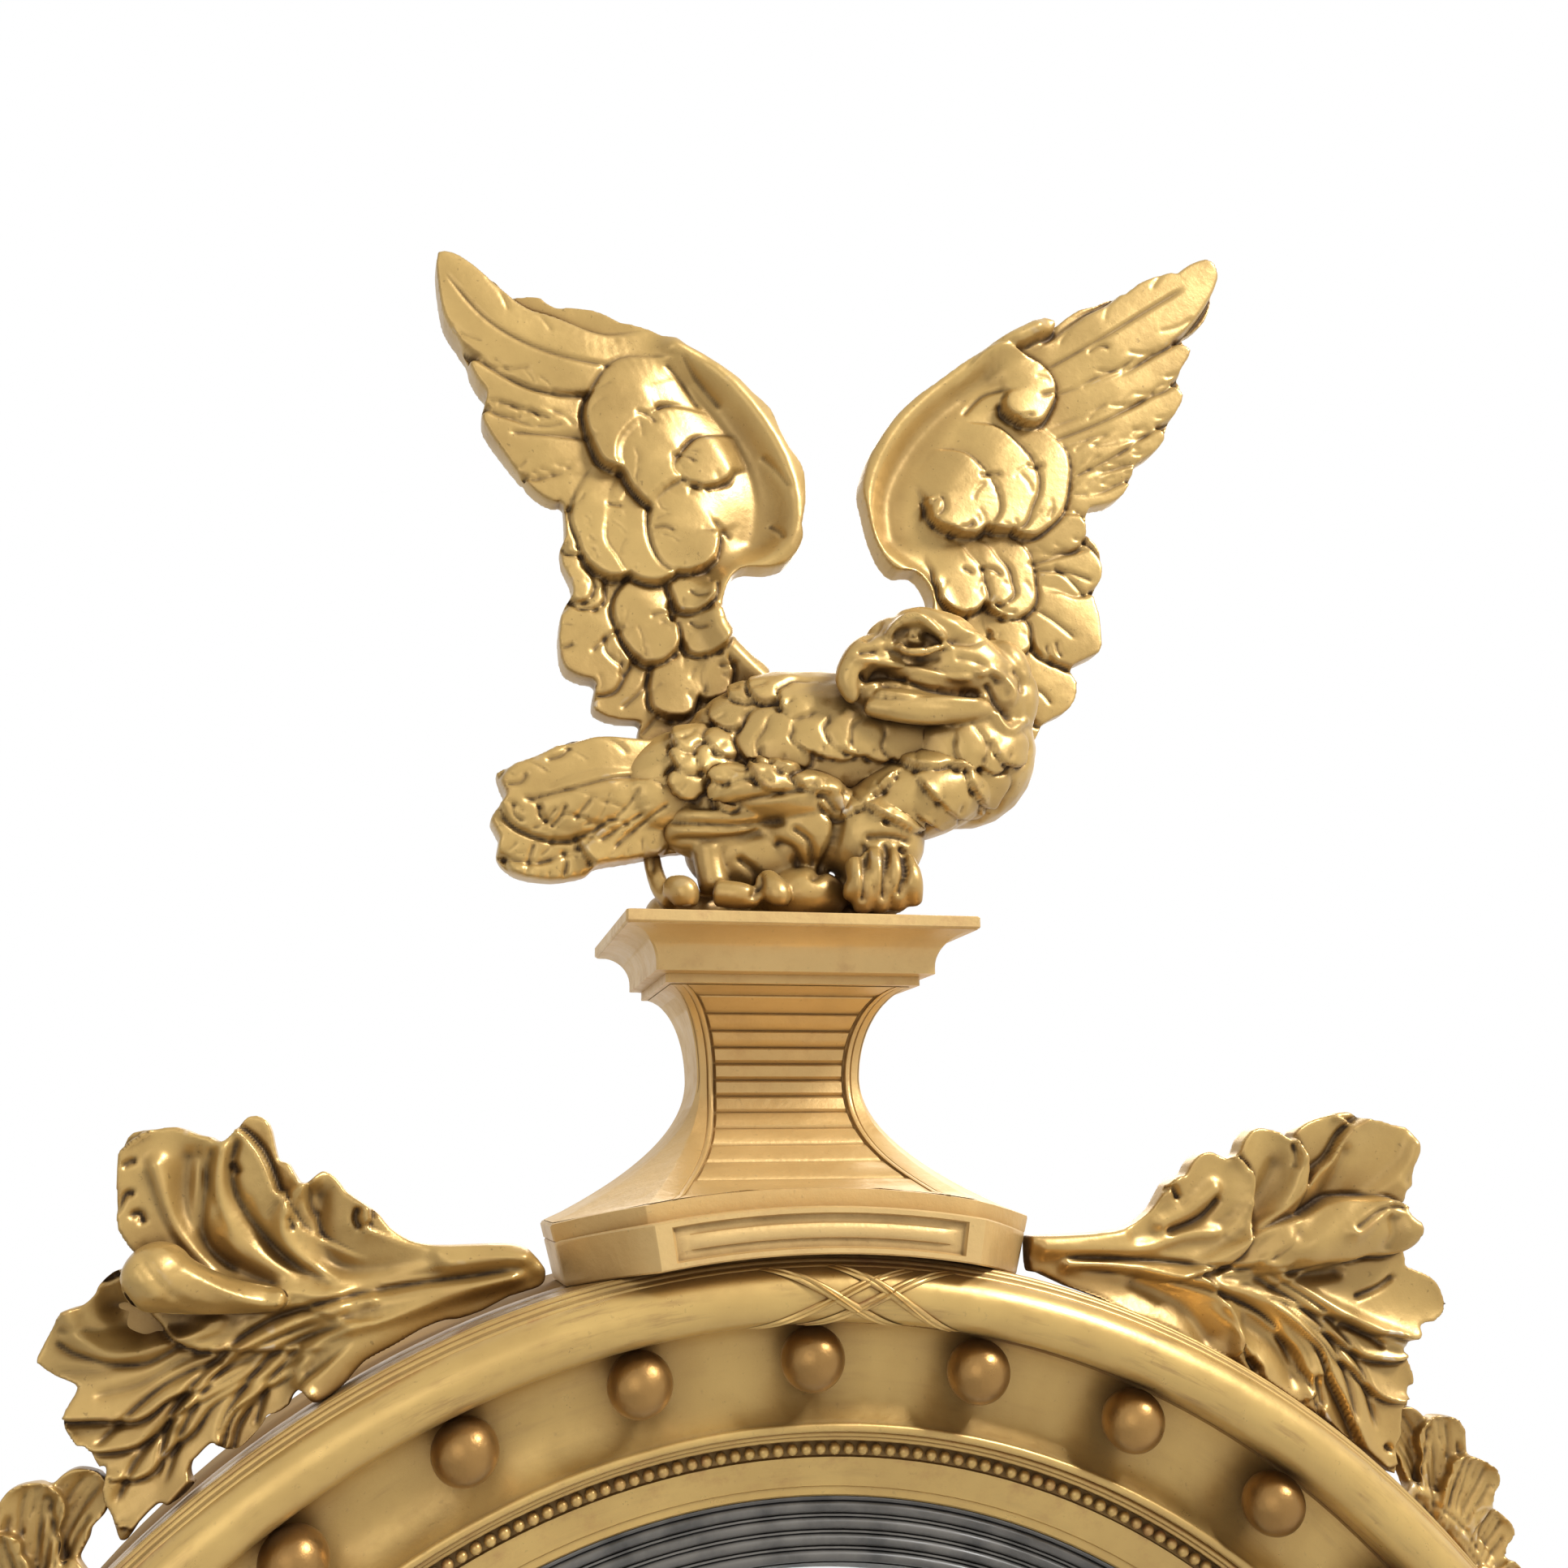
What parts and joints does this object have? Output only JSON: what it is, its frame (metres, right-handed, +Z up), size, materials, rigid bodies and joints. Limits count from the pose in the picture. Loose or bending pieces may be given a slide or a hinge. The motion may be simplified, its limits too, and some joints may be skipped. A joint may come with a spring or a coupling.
{
  "type": "convex wall mirror",
  "caption": "Round giltwood convex wall mirror with a hollow frame of applied balls, a reeded black slip, acanthus leaves, and an eagle with raised wings on a waisted pedestal.",
  "frame": {"origin": "centre of the round frame, on the wall plane at the back of the backboard", "axes": "+Z up, -Y out of the wall towards the viewer, +X to the viewer's right"},
  "size_m": [0.734, 0.1392, 1.3093],
  "materials": {
    "burnished_gold": "burnished water gilding over red bole, rubbed on the high points and dirty in the recesses",
    "matte_gold": "matte oil gilding on gesso",
    "ebonised": "ebonised and waxed",
    "silvered_glass": "convex glass silvered on its back",
    "raw_pine": "aged unfinished pine boards",
    "ochre_paint": "thin yellow ochre wash on pine",
    "old_brass": "dull tarnished brass",
    "dark_steel": "darkened slotted iron screws"
  },
  "bodies": {
    "mirror_frame": {"rear_rim": "ochre_paint", "hollow_moulding": "burnished_gold", "outer_torus": "burnished_gold", "beaded_slip": "burnished_gold", "pearl_string": "burnished_gold", "reeded_slip": "ebonised", "mirror_plate": "silvered_glass", "backboard": "raw_pine", "ball_01": "burnished_gold", "ball_02": "burnished_gold", "ball_03": "burnished_gold", "ball_04": "burnished_gold", "ball_05": "burnished_gold", "ball_06": "burnished_gold", "ball_07": "burnished_gold", "ball_08": "burnished_gold", "ball_09": "burnished_gold", "ball_10": "burnished_gold", "ball_11": "burnished_gold", "ball_12": "burnished_gold", "ball_13": "burnished_gold", "ball_14": "burnished_gold", "ball_15": "burnished_gold", "ball_16": "burnished_gold", "ball_17": "burnished_gold", "ball_18": "burnished_gold", "ball_19": "burnished_gold", "ball_20": "burnished_gold", "ball_21": "burnished_gold", "ball_22": "burnished_gold", "ball_23": "burnished_gold", "ball_24": "burnished_gold", "ball_25": "burnished_gold", "ball_26": "burnished_gold", "ball_27": "burnished_gold", "ball_28": "burnished_gold", "ball_29": "burnished_gold", "ball_30": "burnished_gold", "board_screw_1": "dark_steel", "board_screw_2": "dark_steel", "board_screw_3": "dark_steel", "board_screw_4": "dark_steel", "hanger_plate": "old_brass", "hanger_screw_1": "dark_steel", "hanger_screw_2": "dark_steel", "plinth": "matte_gold", "pedestal_shaft": "matte_gold", "pedestal_cap": "matte_gold", "eagle_body": "burnished_gold", "eagle_tail": "burnished_gold", "wing_left": "burnished_gold", "wing_right": "burnished_gold", "crest_leaf_left": "burnished_gold", "side_leaf_left": "burnished_gold", "apron_leaf_left": "burnished_gold", "crest_leaf_right": "burnished_gold", "side_leaf_right": "burnished_gold", "apron_leaf_right": "burnished_gold", "apron_drop": "burnished_gold"},
    "hanging_ring": {"hanger_ring": "old_brass"}
  },
  "joints": [
    {"name": "hanging_ring_hinge", "type": "hinge", "parent": "mirror_frame", "child": "hanging_ring", "pos_m": [0, -0.0044, 0.3465], "axis": [1, 0, 0], "range_deg": [0, 150]}
  ]
}
